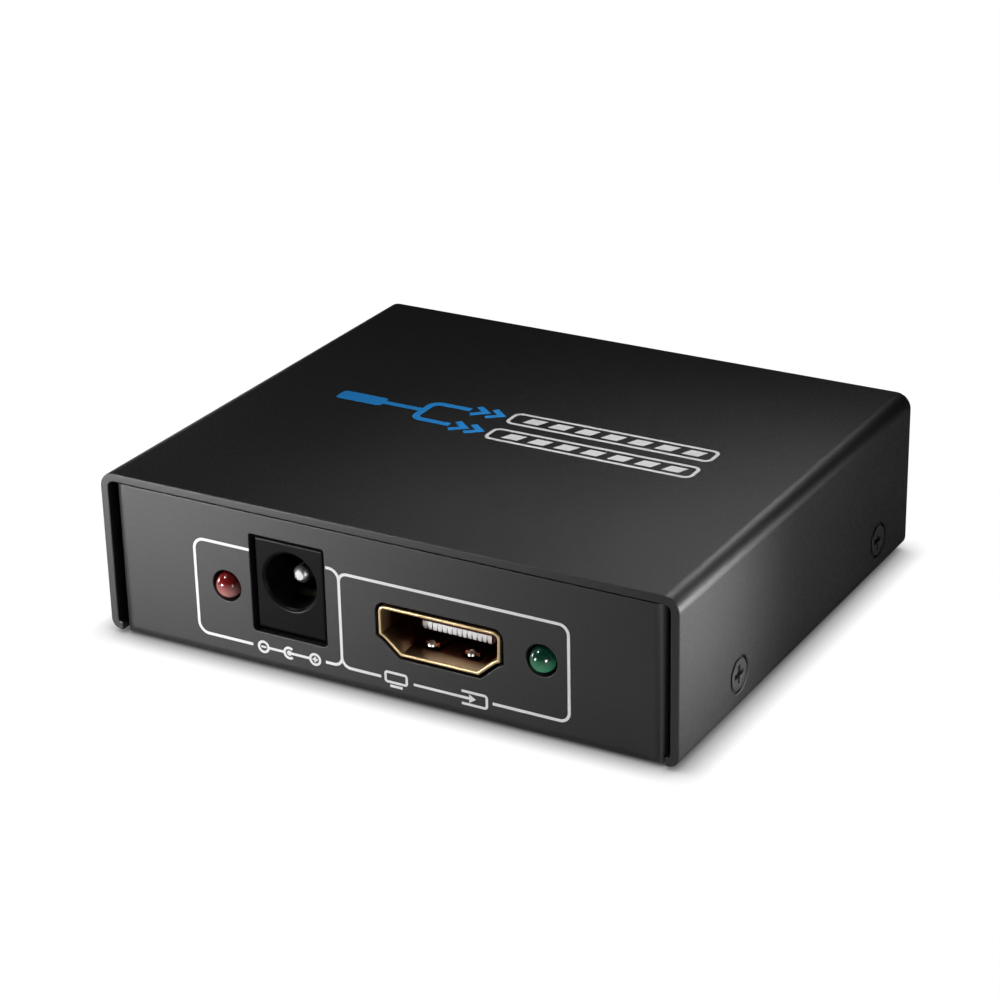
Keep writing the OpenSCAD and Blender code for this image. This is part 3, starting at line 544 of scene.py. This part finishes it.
class Inking:
    """One film of ink on a flat face: u to the right and v up, in millimetres.

    Each stroke lies a hair higher than the last, so that strokes can cross.
    """

    def __init__(self):
        self.bm = bmesh.new()
        self.level = INK

    def pair(self, point):
        return [self.bm.verts.new((point.x, point.y, h)) for h in (-INK_SINK, self.level)]

    def face(self, *verts):
        self.bm.faces.new(verts)

    def line(self, path, width=LINE, closed=False):
        left, right = [], []
        count = len(path)
        for i, here in enumerate(path):
            before = path[i - 1] if closed or i else None
            after = path[(i + 1) % count] if closed or i < count - 1 else None
            a = (here - before).normalized() if before else None
            b = (after - here).normalized() if after else None
            along = ((a or b) + (b or a)).normalized()
            side = Vector((-along.y, along.x))
            reach = width / 2 / max(0.5, along.dot(a or b))
            left.append(self.pair(here + side * reach))
            right.append(self.pair(here - side * reach))
        for i in range(count if closed else count - 1):
            k = (i + 1) % count
            (l0, l1), (r0, r1), (m0, m1), (s0, s1) = left[i], right[i], left[k], right[k]
            self.face(l1, r1, s1, m1)
            self.face(l0, m0, s0, r0)
            self.face(l0, l1, m1, m0)
            self.face(r0, s0, s1, r1)
        if not closed:
            for (l0, l1), (r0, r1), flip in ((left[0], right[0], False), (left[-1], right[-1], True)):
                self.face(*((l0, l1, r1, r0) if flip else (l0, r0, r1, l1)))
        self.level += INK_STEP

    def ring(self, u, v, r, width):
        self.line(arc_path(u, v, r, 0, 360)[:-1], width, closed=True)

    def patch(self, outline):
        """A filled shape inside a closed outline."""
        pairs = [self.pair(Vector(p)) for p in outline]
        self.face(*[p[1] for p in pairs])
        self.face(*[p[0] for p in reversed(pairs)])
        for (a0, a1), (b0, b1) in zip(pairs, pairs[1:] + pairs[:1]):
            self.face(a0, b0, b1, a1)
        self.level += INK_STEP

    def dot(self, u, v, r):
        self.patch(arc_path(u, v, r, 0, 360)[:-1])

    def finish(self, name, across, up, origin, colour):
        """Lays the film on the face that across and up span, through origin."""
        out = across.cross(up)
        for v in self.bm.verts:
            v.co = (origin + across * v.co.x + up * v.co.y + out * v.co.z) * MM
        return place_piece(name, take_mesh(self.bm, name), colour)


AXIS_X, AXIS_Y, AXIS_Z = Vector((1, 0, 0)), Vector((0, 1, 0)), Vector((0, 0, 1))
FRONT = (AXIS_X, AXIS_Z, Vector((0, -PANEL_Y, 0)))
REAR = (-AXIS_X, AXIS_Z, Vector((0, PANEL_Y, 0)))
ROOF = (AXIS_X, AXIS_Y, Vector((0, 0, ROOF_Z)))


def straight(u0, v0, u1, v1):
    return [Vector((u0, v0)), Vector((u1, v1))]


def polarity_sign(film, left, right, v, r):
    """Minus ring, sleeve arc, centre dot and plus ring on one line, as beside a power inlet."""
    middle = (left + right) / 2
    for u, plus in ((left + r, False), (right - r, True)):
        film.ring(u, v, r - SIGN_LINE / 2, SIGN_LINE)
        film.line(straight(u - r * 0.42, v, u + r * 0.42, v), 0.22)
        if plus:
            film.line(straight(u, v - r * 0.42, u, v + r * 0.42), 0.22)
    film.line(straight(left + 2 * r - 0.05, v, middle - r + 0.05, v), SIGN_LINE)
    film.line(arc_path(middle, v, r - SIGN_LINE / 2, 50, 310), SIGN_LINE)
    film.dot(middle, v, 0.3)
    film.line(straight(middle + 0.2, v, right - 2 * r + 0.05, v), SIGN_LINE)


def arrow(film, start, end, v, head, width=SIGN_LINE):
    """A straight arrow that points to the right."""
    film.line(straight(start, v, end - head * 0.9, v), width)
    film.patch([(end - head, v + head * 0.62), (end - head, v - head * 0.62), (end, v)])


def screen_sign(film, u, v):
    """A flat screen on a foot, its middle at u, v."""
    film.line(box_path(u - 1.3, v - 0.42, u + 1.3, v + 0.72, 0.25), SIGN_LINE, closed=True)
    film.line(straight(u - 0.75, v - 0.86, u + 0.75, v - 0.86), SIGN_LINE)


def digit_sign(film, u, v, number):
    path = {1: [(-0.3, 0.32), (0.08, 0.68), (0.08, -0.7)],
            2: [(-0.4, 0.3), (-0.3, 0.54), (0, 0.66), (0.3, 0.54), (0.4, 0.26), (0.25, -0.06), (-0.4, -0.58),
                (0.46, -0.58)]}[number]
    film.line([Vector((u + a, v + b)) for a, b in path], SIGN_LINE)


def front_printing():
    film = Inking()
    low, high, divider = 2.66, 13.89, -4.72
    film.line(corner_path([(-16.1, low, 0), (-23.07, low, 1.25), (-23.07, high, 1.25), (-15.95, high, 0)]))
    film.line(corner_path([(-6.3, high, 0), (divider, high, 1.2), (divider, 12.0, 0)]))
    film.line(corner_path([(-6.8, low, 0), (divider, low, 1.0), (divider, 4.4, 0)]))
    low, high = 2.61, 13.58
    film.line(corner_path([(0.1, low, 0), (divider, low, 1.1), (divider, high, 1.0), (22.56, high, 1.1),
                           (22.56, low, 1.1), (13.6, low, 0)]))
    film.finish("front_frames", *FRONT, WHITE_INK)
    film = Inking()
    polarity_sign(film, -15.5, -7.4, 2.64, 0.76)
    screen_sign(film, 1.95, 2.62)
    arrow(film, 4.1, 11.6, 2.56, 0.8)
    film.line(corner_path([(9.9, 3.28, 0), (12.9, 3.28, 0.3), (12.9, 1.84, 0.3), (9.9, 1.84, 0)]), SIGN_LINE)
    film.finish("front_signs", *FRONT, WHITE_INK)


def rear_printing():
    film = Inking()
    signs = Inking()
    low, high, divider = 2.61, 13.58, -0.07
    for number, port, far in ((1, "output_1", -25.6), (2, "output_2", 27.5)):
        u = -port_place(port)[0]
        near_gap, far_gap = (u + 4.4, u - 4.3) if number == 1 else (u - 4.3, u + 4.4)
        film.line(corner_path([(near_gap, low, 0), (divider, low, 1.1), (divider, high, 1.1), (far, high, 1.1),
                               (far, low, 1.1), (far_gap, low, 0)]))
        digit_sign(signs, u - 3.3, 2.6, number)
        arrow(signs, u - 2.3, u + 0.7, 2.6, 1.0)
        screen_sign(signs, u + 2.6, 2.66)
    film.finish("rear_frames", *REAR, WHITE_INK)
    signs.finish("rear_signs", *REAR, WHITE_INK)


def roof_printing():
    """One source that forks into two equal lanes."""
    lanes = (3.3, -1.6)
    source = 0.85
    film = Inking()
    film.patch(box_path(-23.6, source - 1.15, -17.6, source + 1.15, 0.5))
    film.line(straight(-17.8, source, -12.0, source), 0.85)
    for lane in lanes:
        film.line(corner_path([(-12.4, source, 0), (-12.4, lane, 1.1), (-7.6, lane, 0)]), 0.85)
        for tip in (-5.6, -3.6):
            film.line([Vector((tip - 1.5, lane + 1.2)), Vector((tip, lane)), Vector((tip - 1.5, lane - 1.2))], 0.75)
    film.finish("roof_fork", *ROOF, BLUE_INK)
    film = Inking()
    for lane in lanes:
        film.line(box_path(-2.3, lane - 1.45, 22.9, lane + 1.45, 0.8), 0.42, closed=True)
        for k in range(7):
            u = -0.6 + 3.3 * k
            film.patch([(u, lane - 0.7), (u + 2.0, lane - 0.7), (u + 2.6, lane + 0.7), (u + 0.6, lane + 0.7)])
    film.finish("roof_lanes", *ROOF, WHITE_INK)


front_printing()
rear_printing()
roof_printing()


# Stage and light

GLOSS_SHARE = 0.02


def stage_paper():
    """Pale paper that glows white, with a painted contact shadow where the box stands on it: the glow is dimmed by
    ambient occlusion.
    """
    material = bpy.data.materials.new("stage_paper")
    material.use_nodes = True
    material.node_tree.nodes.clear()
    tree = Tree(material.node_tree)
    ray = tree.add("LightPath").outputs
    seen = tree.math("MAXIMUM", ray["Is Camera Ray"], ray["Is Transmission Ray"])
    seen = tree.math("MAXIMUM", seen, tree.math("MULTIPLY", ray["Is Glossy Ray"], GLOSS_SHARE))
    # Painted shadow: the glow is dimmed where the box closes in over the paper.
    open_sky = tree.add("AmbientOcclusion", {"Distance": 3.2 * MM}, samples=16).outputs["AO"]
    plain = tree.add("BsdfDiffuse", {"Color": grey(0.8)})
    faint = tree.add("BsdfDiffuse", {"Color": grey(0.04)})
    glow = tree.add("Emission", {"Color": grey(1.0), "Strength": tree.math("POWER", open_sky, 1.4)})
    both = tree.add("AddShader")
    tree.put(faint.outputs[0], both.inputs[0])
    tree.put(glow.outputs[0], both.inputs[1])
    mix = tree.add("MixShader", {"Fac": seen})
    tree.put(plain.outputs[0], mix.inputs[1])
    tree.put(both.outputs[0], mix.inputs[2])
    end = tree.add("OutputMaterial")
    tree.put(mix.outputs[0], end.inputs["Surface"])
    return material


def make_stage():
    """A round floor whose rim sweeps up into a wall."""
    floor_r, bend_r, wall_h, sides = 2.2, 0.5, 2.5, 96
    profile = [(0.3, 0.0), (floor_r, 0.0)]
    profile += [(floor_r + bend_r * math.sin(a), bend_r * (1 - math.cos(a)))
                for a in (math.pi / 2 * k / 12 for k in range(1, 13))]
    profile.append((floor_r + bend_r, wall_h))
    bm = bmesh.new()
    rings = [[bm.verts.new((x, y, z - 0.00002)) for x, y in circle(r, sides)] for r, z in profile]
    bm.faces.new(rings[0])
    join_rings(bm, rings)
    mesh = take_mesh(bm, "stage")
    smooth(mesh)
    mesh.materials.append(stage_paper())
    stage = bpy.data.objects.new("stage", mesh)
    bpy.context.scene.collection.objects.link(stage)


# name, place, aim, size, beam in degrees, watts
LAMPS = (
    ("panel_left_lamp", (-110.5, -159.8, 14), (-28, -30, 10), 24, 40, 0.0166),
    ("panel_right_lamp", (100.7, -110.2, 17), (33, -29, 10), 30, 41, 0.0034),
    ("side_front_lamp", (78.7, 0, 12.5), (35, -28, 12), 22, 45, 0.0037),
    ("side_middle_lamp", (88.5, 46.5, 14), (35, -26, 12), 24, 64, 0.0013),
    ("roof_middle_lamp", (19.6, 10, 76), (5, -5, 19), 30, 98, 0.0069),
    ("roof_right_lamp", (22.9, 83, 96), (33, -28, 19), 30, 39, 0.0014),
    ("roof_front_lamp", (-38, 10, 67), (33, -28, 19), 30, 47, 0.0007),
    ("left_bend_lamp", (-145.7, 113.5, 25), (-34, 0, 18), 30, 85, 0.0014),
    ("left_lamp", (-200, -39, 30), (-35, 0, 10), 50, 99, 0.031),
    ("rear_lamp", (20, 170, 13), (0, 30, 10), 22, 90, 0.035),
    ("high_left_lamp", (-140, -98, 217), (-15, -20, 12), 40, 180, 0.13),
)


def area_lamp(name, at, aim, size, beam, watts):
    data = bpy.data.lights.new(name, "AREA")
    data.shape = "SQUARE"
    data.size = size * MM
    data.spread = math.radians(beam)
    data.energy = watts
    lamp = bpy.data.objects.new(name, data)
    lamp.location = Vector(at) * MM
    lamp.rotation_euler = (Vector(aim) - Vector(at)).to_track_quat("-Z", "Y").to_euler()
    lamp.visible_camera = False
    bpy.context.scene.collection.objects.link(lamp)


def set_world(level):
    world = bpy.data.worlds.new("studio")
    bpy.context.scene.world = world
    world.use_nodes = True
    background = world.node_tree.nodes["Background"]
    background.inputs["Color"].default_value = grey(1.0)
    background.inputs["Strength"].default_value = level


set_camera()
make_stage()
set_world(0.02)
for lamp in LAMPS:
    area_lamp(*lamp)

bpy.context.scene.view_settings.view_transform = "Standard"
